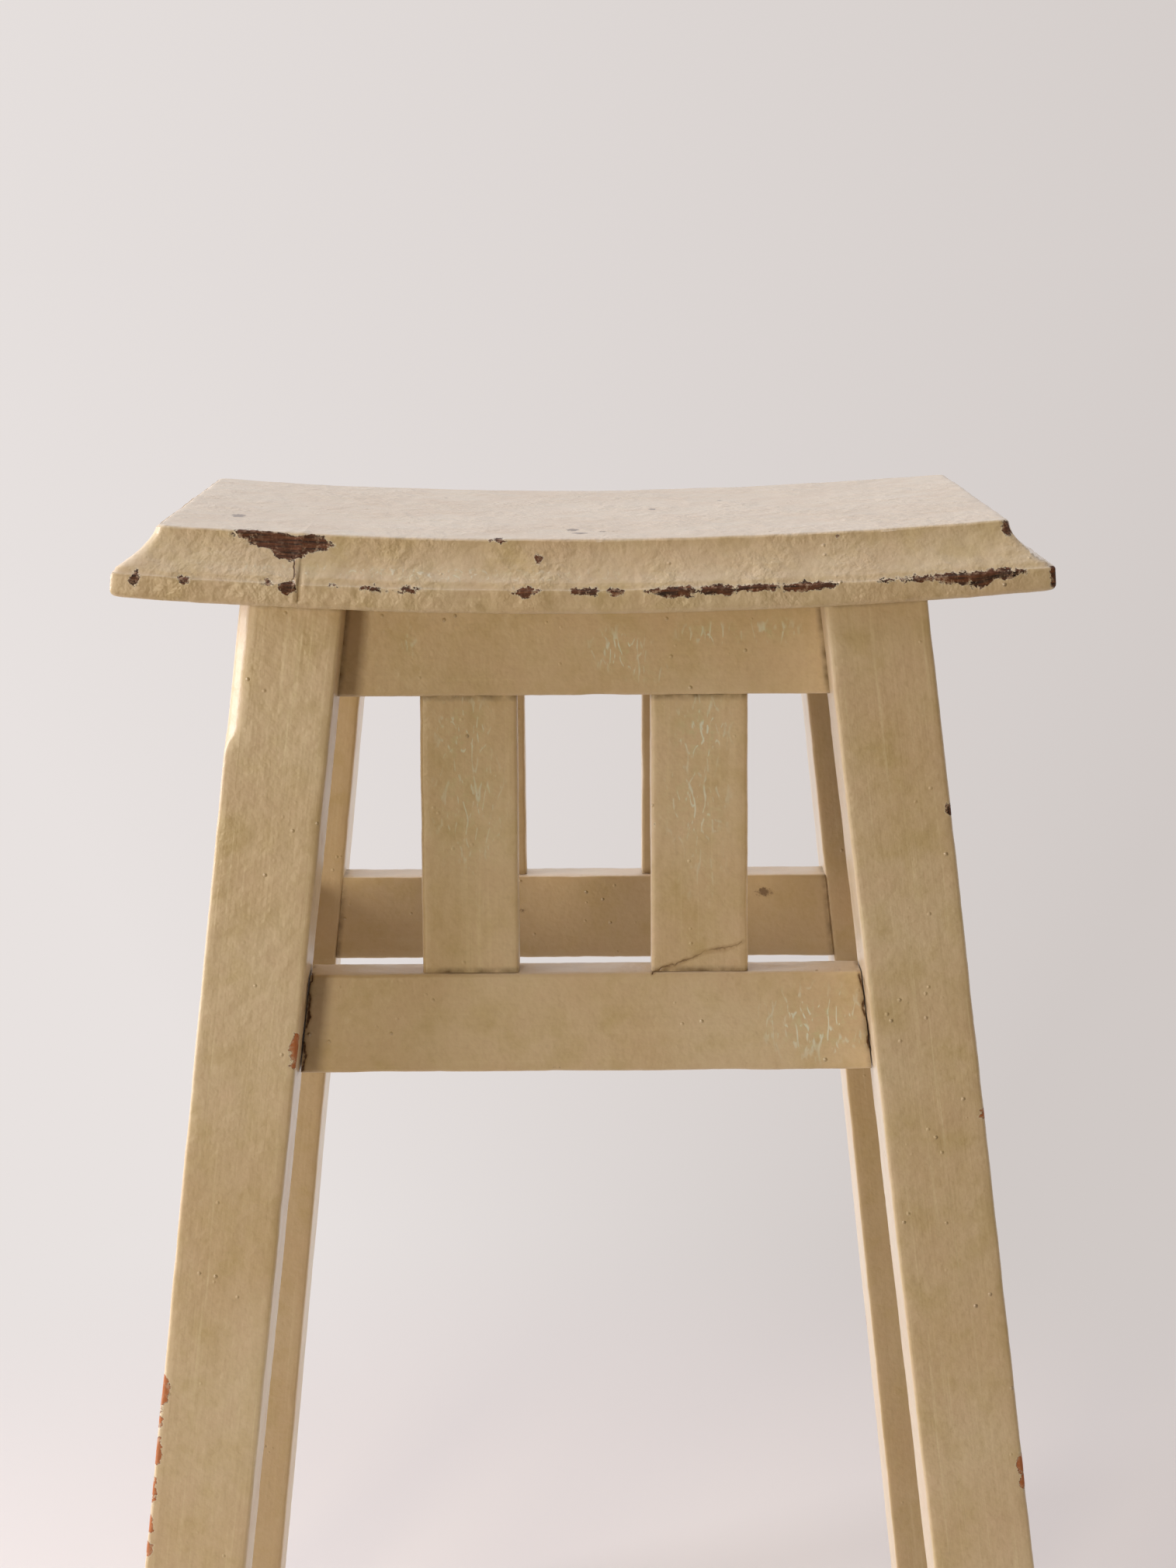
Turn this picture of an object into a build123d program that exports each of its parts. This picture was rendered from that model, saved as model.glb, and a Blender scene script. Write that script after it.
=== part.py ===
from build123d import *
import os
from math import atan2, cos, degrees, radians, sin, tan

# Painted wooden stool with a dished seat, used as a step stool.
# Millimetres. +Z is up, the floor is z = 0, the front is -Y, and the middle is x = y = 0.

# Seat: boards glued edge to edge and bent into a shallow dish along X.
seat_end_height = 600.0       # top of the raised ends above the floor, before the edge is moulded
seat_length = 360.0           # along X, over the nose of the moulding
seat_depth = 228.0            # along Y, over the nose of the moulding
seat_thickness = 27.0
seat_dish = 8.0               # how far the middle of the seat lies below its ends
board_count = 5
cove_width = 15.0             # hollow edge moulding, in from the nose
cove_drop = 17.5              # hollow edge moulding, down from the top
cove_sweep = 84.0             # degrees of hollow, a little short of a full quarter
nose_round = 1.4              # upper arris of the nose, below the hollow
base_round = 2.5              # lower arris of the nose
dowel_diameter = 8.0          # dowels across the glued joints
dowel_length = 36.0
dowel_spacing = 75.0
dowel_count = 3

# Legs: square posts that splay both ways.
leg_width = 40.0
leg_top_x = 111.5             # middle of a leg, level with the underside of the seat's ends
leg_top_y = 80.5
leg_splay_x = 6.65            # degrees, outwards along the seat's length
leg_splay_y = 5.4             # degrees, outwards along the seat's depth
leg_round = 1.3               # rounded long arrises
foot_chamfer = 1.0

# Rails: flush with the inner faces of the legs, apart from the lower side rails.
rail_thickness = 18.0
side_rail_setout = 18.0       # inner face of a lower side rail, out from the legs' inner faces
rail_round = 1.0              # rounded long arrises
apron_reach = 44.5            # bottom of the aprons, below the underside of the seat's ends
lower_rail_drop = 154.0       # top of the lower rails, below the underside of the seat's ends
lower_rail_height = 39.5
tenon_thickness = 8.0         # bare-faced tenons, flush with the outer face of their rail
side_tenon_length = 26.0      # tenons of the lower side rails, which pass outside the front rails' tenons
mitre_gap = 0.5               # between the mitred ends of two tenons that meet in a leg
tenon_shoulder = 6.0          # above and below the tenons of the lower rails, and below the aprons'
apron_haunch = 12.0           # from the lowest point of the seat's underside down to the tenons

# Slats: two in the front frame and two in the back frame.
slat_width = 38.5
slat_offset = 45.3            # middle of a slat from the middle of the stool
slat_thickness = 12.0
slat_setback = 2.0            # face of a slat behind the face of its rails
slat_round = 1.0
stub_width = 26.0             # stub tenons at both ends of a slat
stub_thickness = 6.0
stub_length = 9.0

# Corner blocks under the seat, and the screw through each.
block_side = 36.0             # along each apron
block_nib = 7.0               # square end left beside the slanted face
block_height = 30.0           # down from the lowest point of the seat's underside
screw_inset = 12.5            # screw axis from the inner faces of both aprons
screw_diameter = 4.0
screw_length = 45.0
screw_head_diameter = 8.0
screw_head_height = 2.4
screw_point = 5.0

# Fits.
joint_gap = 0.12              # clearance round tenons, stubs and dowels
end_gap = 1.5                 # empty depth past the end of a tenon, a stub or a dowel
cut_margin = 10.0             # how far cutting shapes run past the wood

# The seat's curve is an arc about an axis along Y, high above the stool.
half_length = seat_length / 2
curve_radius = (half_length**2 + seat_dish**2) / (2 * seat_dish)
end_angle = degrees(atan2(half_length, curve_radius - seat_dish))
board_angle = 2 * end_angle / board_count
underside_end = seat_end_height - seat_thickness * cos(radians(end_angle))
underside_low = underside_end - seat_dish
curve_centre = underside_low + curve_radius

# Levels and slopes shared by the frame.
apron_bottom = underside_end - apron_reach
lower_rail_top = underside_end - lower_rail_drop
lower_rail_bottom = lower_rail_top - lower_rail_height
apron_tenon = (apron_bottom + tenon_shoulder, underside_low - apron_haunch)
lower_tenon = (lower_rail_bottom + tenon_shoulder, lower_rail_top - tenon_shoulder)
block_bottom = underside_low - block_height
slope_x = tan(radians(leg_splay_x))
slope_y = tan(radians(leg_splay_y))
corners = {
    "front_left": (-1, -1),
    "front_right": (1, -1),
    "back_left": (-1, 1),
    "back_right": (1, 1),
}


def inner_x(z):
    # inner face of the right legs at a level
    return leg_top_x - leg_width / 2 + slope_x * (underside_end - z)


def inner_y(z):
    # inner face of the back legs at a level
    return leg_top_y - leg_width / 2 + slope_y * (underside_end - z)


def at_corner(corner, z, outline):
    # outline points are distances from the leg's inner arris, positive into the leg
    side_x, side_y = corner
    return [(side_x * (inner_x(z) + a), side_y * (inner_y(z) + b)) for a, b in outline]


def beside_leg(corner, low, high, outline):
    # prism between two levels that runs along a leg
    slant = Vector(-corner[0] * slope_x, -corner[1] * slope_y, 1)
    with BuildPart() as prism:
        with BuildSketch(Plane.XY.offset(low)):
            with BuildLine():
                Polyline(*at_corner(corner, low, outline), close=True)
            make_face()
        extrude(amount=(high - low) * slant.length, dir=slant)
    return prism.part


def across_frame(side, ends, inset, depth):
    # flat bar in the front or back frame; each end gives a level, a left x and a right x
    lean = cos(radians(leg_splay_y))
    outwards = Vector(0, side, 0)
    up = Vector(0, -side * slope_y, 1)
    frame = Plane(
        origin=outwards * (inner_y(0) + inset),
        x_dir=(1, 0, 0),
        z_dir=Vector(1, 0, 0).cross(up),
    )
    (low, low_left, low_right), (high, high_left, high_right) = ends
    with BuildPart() as bar:
        with BuildSketch(frame):
            with BuildLine():
                Polyline(
                    (low_left, low / lean),
                    (low_right, low / lean),
                    (high_right, high / lean),
                    (high_left, high / lean),
                    close=True,
                )
            make_face()
        extrude(amount=depth, dir=outwards)
    return bar.part


def along_side(side, low, high, inset, depth):
    # flat bar between the inner faces of the two legs at one end of the stool
    lean = cos(radians(leg_splay_x))
    outwards = Vector(side, 0, 0)
    up = Vector(-side * slope_x, 0, 1)
    frame = Plane(
        origin=outwards * (inner_x(0) + inset),
        x_dir=(0, 1, 0),
        z_dir=Vector(0, 1, 0).cross(up),
    )
    with BuildPart() as bar:
        with BuildSketch(frame):
            with BuildLine():
                Polyline(
                    (-inner_y(low), low / lean),
                    (inner_y(low), low / lean),
                    (inner_y(high), high / lean),
                    (-inner_y(high), high / lean),
                    close=True,
                )
            make_face()
        extrude(amount=depth, dir=outwards)
    return bar.part


def front_tenon(gap, reach_gap):
    # outline inside a leg of the tenon on a front or back rail, mitred to miss the side rail's
    near = rail_thickness - tenon_thickness - gap
    far = rail_thickness + gap
    tip = rail_thickness - mitre_gap + reach_gap
    return [(-reach_gap, near), (tip - far + near, near), (tip, far), (-reach_gap, far)]


def side_tenon(gap, reach_gap):
    return [(b, a) for a, b in front_tenon(gap, reach_gap)]


def lower_side_tenon(gap, reach_gap):
    # outline inside a leg of the straight tenon on a lower side rail
    outer = side_rail_setout + rail_thickness + gap
    near = outer - tenon_thickness - 2 * gap
    tip = side_tenon_length + reach_gap
    return [(near, -reach_gap), (near, tip), (outer, tip), (outer, -reach_gap)]


def slat_bar(side, middle, width, thickness, low, high):
    # upright bar centred in the thickness of a slat
    inset = rail_thickness - slat_setback - (slat_thickness + thickness) / 2
    ends = [(z, middle - width / 2, middle + width / 2) for z in (low, high)]
    return across_frame(side, ends, inset, thickness)


def slat_stubs(side, middle, gap, reach_gap):
    # both stub tenons of a slat as one bar through its middle
    low = lower_rail_top - stub_length - reach_gap
    high = apron_bottom + stub_length + reach_gap
    return slat_bar(side, middle, stub_width + 2 * gap, stub_thickness + 2 * gap, low, high)


def save(builder, name):
    builder.part.label = name
    export_step(builder.part, "parts/" + name + ".step")


# Everything above the seat's curved underside, to cut the frame to fit under it.
room_depth = 2 * (inner_y(0) + leg_width)
seat_room = Pos(0, 0, curve_centre) * Rot(90, 0, 0) * Cylinder(curve_radius, room_depth)


def make_screw(corner):
    x, y = at_corner(corner, block_bottom, [(-screw_inset, -screw_inset)])[0]
    with BuildPart() as screw:
        with BuildSketch(Plane.XZ):
            with BuildLine():
                Polyline(
                    (0, 0),
                    (screw_head_diameter / 2, 0),
                    (screw_diameter / 2, screw_head_height),
                    (screw_diameter / 2, screw_length - screw_point),
                    (0, screw_length),
                    close=True,
                )
            make_face()
        revolve(axis=Axis.Z)
    return Pos(x, y, block_bottom) * screw.part


def across_seat(angle):
    # plane across the seat at an angle round its curve: local x is +Y, local y is up
    a = radians(angle)
    foot = (curve_radius * sin(a), 0, curve_centre - curve_radius * cos(a))
    return Plane(origin=foot, x_dir=(0, 1, 0), z_dir=(cos(a), 0, sin(a)))


def along_end(side):
    # plane across one end of the seat: local x is outwards along the curve, local y is up
    a = radians(end_angle)
    foot = (side * half_length, 0, underside_end)
    return Plane(origin=foot, x_dir=(side * cos(a), 0, sin(a)), z_dir=(0, -side, 0))


def dowel_at(angle, gap, reach_gap):
    with BuildPart() as dowel:
        with BuildSketch(across_seat(angle)):
            with Locations((0, seat_thickness / 2)):
                with GridLocations(dowel_spacing, 1, dowel_count, 1):
                    Circle(dowel_diameter / 2 + gap)
        extrude(amount=dowel_length / 2 + reach_gap, both=True)
    return dowel.part


def end_shape(side):
    # the seat's end seen from the front, with its hollow and nose, over the whole depth
    with BuildPart() as shape:
        with BuildSketch(along_end(side)) as profile:
            with BuildLine():
                hollow = EllipticalCenterArc(
                    (0, seat_thickness), cove_width, cove_drop, start_angle=180, arc_size=cove_sweep
                )
                Polyline(
                    hollow @ 1,
                    (0, (hollow @ 1).Y),
                    (0, 0),
                    (-seat_length, 0),
                    (-seat_length, seat_thickness + cut_margin),
                    (-cove_width, seat_thickness + cut_margin),
                    hollow @ 0,
                )
            make_face()
            base_corner, nose_corner = profile.vertices().group_by(Axis.X)[-1].sort_by(Axis.Y)
            fillet(nose_corner, nose_round)
            fillet(base_corner, base_round)
        extrude(amount=seat_depth, both=True)
    return shape.part


def make_board(number):
    start_angle = -end_angle + number * board_angle
    half = seat_depth / 2
    with BuildPart() as board:
        with BuildSketch(across_seat(start_angle)) as section:
            with BuildLine():
                hollow = EllipticalCenterArc(
                    (half, seat_thickness), cove_width, cove_drop, start_angle=180, arc_size=cove_sweep
                )
                Polyline(hollow @ 1, (half, (hollow @ 1).Y), (half, 0), (0, 0))
                Line(hollow @ 0, (0, seat_thickness))
                mirror(about=Plane.YZ)
            make_face()
            outer_corners = section.vertices().filter_by_position(Axis.Y, 0, seat_thickness - cove_drop / 2)
            outer_corners = outer_corners.group_by(Axis.X)[0] + outer_corners.group_by(Axis.X)[-1]
            fillet(outer_corners.group_by(Axis.Y)[-1], nose_round)
            fillet(outer_corners.group_by(Axis.Y)[0], base_round)
        revolve(axis=Axis((0, 0, curve_centre), (0, -1, 0)), revolution_arc=board_angle)
    return board


os.makedirs("parts", exist_ok=True)

screws = [make_screw(corner) for corner in corners.values()]
slat_middles = (-slat_offset, slat_offset)
joint_angles = [-end_angle + number * board_angle for number in range(1, board_count)]

# Seat boards, numbered from the left end.
for number in range(board_count):
    board = make_board(number)
    with board:
        if number == 0:
            add(end_shape(-1), mode=Mode.INTERSECT)
        if number == board_count - 1:
            add(end_shape(1), mode=Mode.INTERSECT)
        for angle in joint_angles:
            add(dowel_at(angle, joint_gap, end_gap), mode=Mode.SUBTRACT)
        add(screws, mode=Mode.SUBTRACT)
    save(board, f"seat_board_{number + 1}")

with BuildPart() as seat_dowels:
    for angle in joint_angles:
        add(dowel_at(angle, 0, 0))
save(seat_dowels, "seat_dowels")

with BuildPart() as seat_screws:
    add(screws)
save(seat_screws, "seat_screws")

# Legs and corner blocks.
leg_outline = [(0, 0), (leg_width, 0), (leg_width, leg_width), (0, leg_width)]
block_outline = [
    (0, 0),
    (-block_side, 0),
    (-block_side, -block_nib),
    (-block_nib, -block_side),
    (0, -block_side),
]
for place, corner in corners.items():
    post = beside_leg(corner, 0, seat_end_height, leg_outline)
    with BuildPart() as leg:
        add(post)
        fillet(leg.edges().sort_by(SortBy.LENGTH)[-4:], leg_round)
        chamfer(leg.edges().group_by(Axis.Z)[0], foot_chamfer)
        add(seat_room, mode=Mode.SUBTRACT)
        for low, high, tenon in (
            (*apron_tenon, front_tenon),
            (*apron_tenon, side_tenon),
            (*lower_tenon, front_tenon),
            (*lower_tenon, lower_side_tenon),
        ):
            mortise = beside_leg(corner, low - joint_gap, high + joint_gap, tenon(joint_gap, end_gap))
            add(mortise, mode=Mode.SUBTRACT)
    save(leg, "leg_" + place)

    block = beside_leg(corner, block_bottom, seat_end_height, block_outline)
    with BuildPart() as glue_block:
        add(block)
        add(seat_room, mode=Mode.SUBTRACT)
        add(screws, mode=Mode.SUBTRACT)
    save(glue_block, "corner_block_" + place)

# Rails, and the slats between the front and the back ones.
rail_levels = {
    "apron": (apron_bottom, seat_end_height, apron_tenon, 0, side_tenon),
    "lower_rail": (lower_rail_bottom, lower_rail_top, lower_tenon, side_rail_setout, lower_side_tenon),
}
for kind, (low, high, tenon_levels, side_inset, end_tenon) in rail_levels.items():
    for place, side in (("front", -1), ("back", 1)):
        bar = across_frame(side, [(z, -inner_x(z), inner_x(z)) for z in (low, high)], 0, rail_thickness)
        tenons = [
            beside_leg(corner, *tenon_levels, front_tenon(0, 0))
            for corner in corners.values()
            if corner[1] == side
        ]
        with BuildPart() as rail:
            add(bar)
            fillet(rail.edges().sort_by(SortBy.LENGTH)[-4:], rail_round)
            add(seat_room, mode=Mode.SUBTRACT)
            add(tenons)
            for middle in slat_middles:
                add(slat_stubs(side, middle, joint_gap, end_gap), mode=Mode.SUBTRACT)
        save(rail, f"{kind}_{place}")

    for place, side in (("left", -1), ("right", 1)):
        bar = along_side(side, low, high, side_inset, rail_thickness)
        tenons = [
            beside_leg(corner, *tenon_levels, end_tenon(0, 0))
            for corner in corners.values()
            if corner[0] == side
        ]
        with BuildPart() as rail:
            add(bar)
            fillet(rail.edges().sort_by(SortBy.LENGTH)[-4:], rail_round)
            add(seat_room, mode=Mode.SUBTRACT)
            add(tenons)
        save(rail, f"{kind}_{place}")

for place, side in (("front", -1), ("back", 1)):
    for hand, middle in zip(("left", "right"), slat_middles):
        bar = slat_bar(side, middle, slat_width, slat_thickness, lower_rail_top, apron_bottom)
        stubs = slat_stubs(side, middle, 0, 0)
        with BuildPart() as slat:
            add(bar)
            fillet(slat.edges().sort_by(SortBy.LENGTH)[-4:], slat_round)
            add(stubs)
        save(slat, f"slat_{place}_{hand}")
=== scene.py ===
import math

import bmesh
import bpy
import numpy as np
from mathutils import Matrix, Vector, noise


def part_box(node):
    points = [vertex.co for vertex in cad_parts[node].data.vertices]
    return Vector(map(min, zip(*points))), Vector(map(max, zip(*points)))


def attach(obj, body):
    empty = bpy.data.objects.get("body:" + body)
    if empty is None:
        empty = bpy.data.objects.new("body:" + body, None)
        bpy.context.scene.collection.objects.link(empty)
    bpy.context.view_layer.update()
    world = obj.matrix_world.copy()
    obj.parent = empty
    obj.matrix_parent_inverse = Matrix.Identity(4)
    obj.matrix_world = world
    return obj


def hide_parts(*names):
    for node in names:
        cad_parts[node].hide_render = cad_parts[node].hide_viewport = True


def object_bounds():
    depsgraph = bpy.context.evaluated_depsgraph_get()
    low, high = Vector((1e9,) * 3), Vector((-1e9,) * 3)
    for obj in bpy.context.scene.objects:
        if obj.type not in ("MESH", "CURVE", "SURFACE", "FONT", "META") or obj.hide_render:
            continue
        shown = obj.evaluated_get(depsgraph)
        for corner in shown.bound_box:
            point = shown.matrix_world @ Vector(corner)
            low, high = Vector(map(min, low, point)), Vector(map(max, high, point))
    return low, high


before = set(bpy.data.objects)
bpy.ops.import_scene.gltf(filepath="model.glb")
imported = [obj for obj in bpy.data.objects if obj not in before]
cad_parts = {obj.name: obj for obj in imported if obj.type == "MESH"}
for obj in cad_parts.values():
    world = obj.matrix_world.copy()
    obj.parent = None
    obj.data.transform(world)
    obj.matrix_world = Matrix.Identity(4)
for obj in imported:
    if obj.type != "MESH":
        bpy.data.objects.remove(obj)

# Painted wooden stool with a dished seat. Metres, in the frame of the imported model.
# Every painted piece is a dense mesh with soft, uneven arrises that stands for its CAD node,
# and carries fields in metres that the enamel reads: how far a point is from a worn arris, from
# a joint, and from the middle of a chip.

MM = 0.001
cad_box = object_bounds()

# ------------------------------------------------------------------ sizes of the looks
arris_radius = 1.5 * MM          # worn long arrises of legs and rails
bar_step = 2.2 * MM              # mesh spacing across a bar
bar_long_step = 2.6 * MM         # mesh spacing along a bar
seat_step = 1.4 * MM
cove_drop = 17.5 * MM            # the seat's hollow moulding, from its top down
nose_round = 1.3 * MM
base_round = 2.2 * MM
top_round = 1.6 * MM
corner_round = (3.0 * MM, 4.0 * MM)   # in plan, at the nose and at the top
hollow = {"left": 0.45, "right": 0.85, "front": 0.48, "back": 0.48}   # 0 is a plain chamfer
undercut = {"left": 7.0 * MM, "right": 1.5 * MM, "front": 0.2 * MM, "back": 0.2 * MM}
brush_marks = {"leg": 1.0, "slat": 0.6, "other": 0.3}   # how plain the brush strokes are
lumpiness = {"seat": 1.0, "other": 0.1}                 # how lumpy the paint is
walls = 4                        # mesh levels between the nose and the underside
planed_width = 4.5 * MM          # of the strip planed off one leg's outer arris, at its top
planed_length = 50 * MM
planed_fade = 8 * MM
rail_end_gaps = (0.6 * MM, 0.5 * MM)  # at the left and right end of the front lower rail
sharp_angle = math.radians(60)
relief = {                       # heights in the paint's surface
    "strokes": 0.07 * MM, "sags": 0.50 * MM, "lumps": 1.20 * MM, "nibs": 0.80 * MM,
    "chips": 0.50 * MM, "cracks": 0.30 * MM,
}
camera_place = (-0.0018, -1.1665)      # X and Y
camera_above = 112.7                   # millimetres above the top of the stool
camera_turn = (11.373, 0.172, -0.345)  # down, to the right and rolled, in degrees
camera_lens = 64.39                    # millimetres, before a sensor 36 mm wide
lamp_aim = (0, 0, 0.45)


# ------------------------------------------------------------------ reading the frame
def points(node):
    mesh = bpy.data.objects[node].data
    flat = np.empty(len(mesh.vertices) * 3)
    mesh.vertices.foreach_get("co", flat)
    return flat.reshape(-1, 3)


def level_span(node, z):
    """Lowest and highest x and y where a level plane cuts a CAD node."""
    co = points(node)
    cuts = []
    for edge in bpy.data.objects[node].data.edges:
        a, b = (co[i] for i in edge.vertices)
        if (a[2] - z) * (b[2] - z) < 0:
            cuts.append(a + (b - a) * (z - a[2]) / (b[2] - a[2]))
    cuts = np.array(cuts)
    return cuts[:, 0].min(), cuts[:, 0].max(), cuts[:, 1].min(), cuts[:, 1].max()


def slant(node, low, high):
    """A function from level to the four sides of a straight, slanted node."""
    first = np.array(level_span(node, low))
    second = np.array(level_span(node, high))
    return lambda z: first + (second - first) * (z - low) / (high - low)


# The seat is bent round an axis along Y. Two low corners of its boards give the circle.
boards = sorted(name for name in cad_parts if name.startswith("seat_board_"))
outer_low, inner_low = (min(points(name), key=lambda p: p[2]) for name in boards[:2])
bend_centre = (outer_low[0] ** 2 - inner_low[0] ** 2 + outer_low[2] ** 2 - inner_low[2] ** 2) / (
    2 * (outer_low[2] - inner_low[2])
)
bend_radius = math.hypot(outer_low[0], bend_centre - outer_low[2])


def unbend(p):
    across = np.hypot(p[:, 0], bend_centre - p[:, 2])
    return np.stack(
        [bend_radius * np.arctan2(p[:, 0], bend_centre - p[:, 2]), p[:, 1], bend_radius - across], axis=1
    )


def bend(p):
    radius = bend_radius - p[:, 2]
    angle = p[:, 0] / bend_radius
    return np.stack([radius * np.sin(angle), p[:, 1], bend_centre - radius * np.cos(angle)], axis=1)


def underside(x):
    return bend_centre - math.sqrt(bend_radius**2 - x * x)


def down(drop):
    """Height of a place this many millimetres below the top of the stool."""
    return cad_box[1][2] - drop * MM


# ------------------------------------------------------------------ mesh helpers
def wave(p, size, seed):
    """Smooth noise from -1 to 1 with bumps about this size."""
    return noise.noise(Vector((p[0] / size + seed, p[1] / size, p[2] / size)))


def make_piece(name, node, verts, faces, fields, body="root"):
    prefix = node.split("_")[0]
    fields["brushed"] = np.full(len(verts), brush_marks.get(prefix, brush_marks["other"]))
    fields["lumpy"] = np.full(len(verts), lumpiness.get(prefix, lumpiness["other"]))
    mesh = bpy.data.meshes.new(name)
    mesh.from_pydata([tuple(v) for v in verts], [], faces)
    shell = bmesh.new()
    shell.from_mesh(mesh)
    for face in shell.faces:
        face.smooth = True
    for side in shell.edges:
        side.smooth = side.calc_face_angle(0.0) < sharp_angle
    shell.to_mesh(mesh)
    shell.free()
    for key, values in fields.items():
        values = np.asarray(values, dtype=float)
        kind = "FLOAT_VECTOR" if values.ndim == 2 else "FLOAT"
        layer = mesh.attributes.new(key, kind, "POINT")
        layer.data.foreach_set("vector" if values.ndim == 2 else "value", values.ravel())
    piece = bpy.data.objects.new(name, mesh)
    bpy.context.scene.collection.objects.link(piece)
    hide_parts(node)
    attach(piece, body)
    return piece


def rounded_ring(width, height, radius, step):
    """Points round a rectangle with rounded corners, and each one's distance to the nearest corner arc."""
    ring = []
    sides = [
        ((radius, 0), (width - radius, 0)),
        ((width, radius), (width, height - radius)),
        ((width - radius, height), (radius, height)),
        ((0, height - radius), (0, radius)),
    ]
    centres = [
        (width - radius, radius),
        (width - radius, height - radius),
        (radius, height - radius),
        (radius, radius),
    ]
    for index, ((x0, y0), (x1, y1)) in enumerate(sides):
        length = math.hypot(x1 - x0, y1 - y0)
        count = max(2, round(length / step))
        for k in range(count + 1):
            t = k / count
            ring.append((x0 + (x1 - x0) * t, y0 + (y1 - y0) * t, length * min(t, 1 - t)))
        cx, cy = centres[index]
        for k in (1, 2, 3):
            angle = math.radians(-90 + 90 * index + 22.5 * k)
            ring.append((cx + radius * math.cos(angle), cy + radius * math.sin(angle), 0.0))
    return ring


def worn_bar(name, node, corners, sizes, seed, under_seat=False, worn_ends=(False, False),
             chips=(), marks=(), stains=(), planed=0.0, gaps=(0.0, 0.0)):
    """A straight bar with rounded, uneven arrises. corners[w][v][u] are its eight corners, w along it."""
    width, height, length = sizes
    ring = rounded_ring(width, height, arris_radius, bar_step)
    rows = max(2, round(length / bar_long_step))
    ends = [0.0, 0.4, 1.0] if any(worn_ends) else [0.0]
    stations = sorted({*(i / rows for i in range(rows + 1)), *(e * arris_radius / length for e in ends)})
    verts, grain, edge, joint = [], [], [], []
    corners = np.array(corners)
    top, bottom = corners[:, :, :, 2].max(), corners[:, :, :, 2].min()
    for w in stations:
        w = gaps[0] / length + w * (1 - (gaps[0] + gaps[1]) / length)
        face = corners[0] * (1 - w) + corners[1] * w
        reach = w * length
        near_end = min(reach if worn_ends[0] else 1.0, (length - reach) if worn_ends[1] else 1.0)
        heart = face.reshape(-1, 3).mean(axis=0)
        planed_here = planed * min(1.0, max(0.0, 1 - (length - reach - planed_length) / planed_fade))
        for along_u, along_v, arris in ring:
            cut = max(0.0, planed_here - along_u - along_v)
            u, v = (along_u + cut / 2) / width, (along_v + cut / 2) / height
            near_side = face[0, 0] * (1 - u) + face[0, 1] * u
            far_side = face[1, 0] * (1 - u) + face[1, 1] * u
            spot = near_side * (1 - v) + far_side * v
            out = Vector(spot - heart)
            out.normalize()
            # planed faces are never quite flat, and arrises are knocked back here and there
            push = 0.16 * MM * wave(spot, 28 * MM, seed) + 0.05 * MM * wave(spot, 6 * MM, seed + 7)
            if arris < 1 * MM:
                push -= 0.45 * MM * max(0.0, wave(spot, 17 * MM, seed + 3))
                push -= 0.25 * MM * max(0.0, wave(spot, 5 * MM, seed + 5))
            push -= 0.10 * MM
            if near_end < arris_radius:
                push -= arris_radius - math.sqrt(max(0.0, arris_radius**2 - (arris_radius - near_end) ** 2))
            spot = spot + np.array(out) * push
            if under_seat:
                # the upper edge follows the seat's curve
                share = (spot[2] - bottom) / (top - bottom)
                spot[2] = bottom + share * (underside(spot[0]) - 0.05 * MM - bottom)
            verts.append(spot)
            grain.append((reach, along_u + seed * 0.31, along_v + seed * 0.17))
            edge.append(min(arris, near_end))
            joint.append(min(reach, length - reach) if not any(worn_ends) else length - reach)
    n = len(ring)
    faces = []
    for row in range(len(stations) - 1):
        for k in range(n):
            a, b = row * n + k, row * n + (k + 1) % n
            faces.append((a, b, b + n, a + n))
    faces.append(tuple(range(n - 1, -1, -1)))
    last = (len(stations) - 1) * n
    faces.append(tuple(range(last, last + n)))
    verts = np.array(verts)
    fields = {
        "grain": np.array(grain),
        "edge": edge,
        "joint": joint,
        "chip": spots_field(verts, chips),
        "mark": spots_field(verts, marks),
        "stain": spots_field(verts, stains),
    }
    return make_piece(name, node, verts, faces, fields)


def spots_field(verts, spots):
    """How far each vertex lies inside the nearest spot, in metres; below zero outside every spot."""
    field = np.full(len(verts), -0.02)
    for centre, radii in spots:
        radii = np.array(radii)
        away = np.linalg.norm((verts - np.array(centre)) / radii, axis=1)
        field = np.maximum(field, (1 - away) * radii.min())
    return field


# ------------------------------------------------------------------ legs, rails and slats
def box_corners(sides_low, sides_high, low, high):
    """Corners by level of a bar cut by two levels: [level][y][x]."""
    return [
        [[(sides[i], sides[j], z) for i in (0, 1)] for j in (2, 3)]
        for sides, z in ((sides_low, low), (sides_high, high))
    ]


def leg(place, seed, **details):
    node = "leg_" + place
    low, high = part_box(node)[0][2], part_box(node)[1][2]
    span = slant(node, low + 20 * MM, low + 200 * MM)
    corners = box_corners(span(low), span(high), low, high)
    sides = span(low)
    sizes = (sides[1] - sides[0], sides[3] - sides[2], high - low)
    return worn_bar(
        node + "_painted", node, corners, sizes, seed, under_seat=True, worn_ends=(True, False), **details
    )


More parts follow.
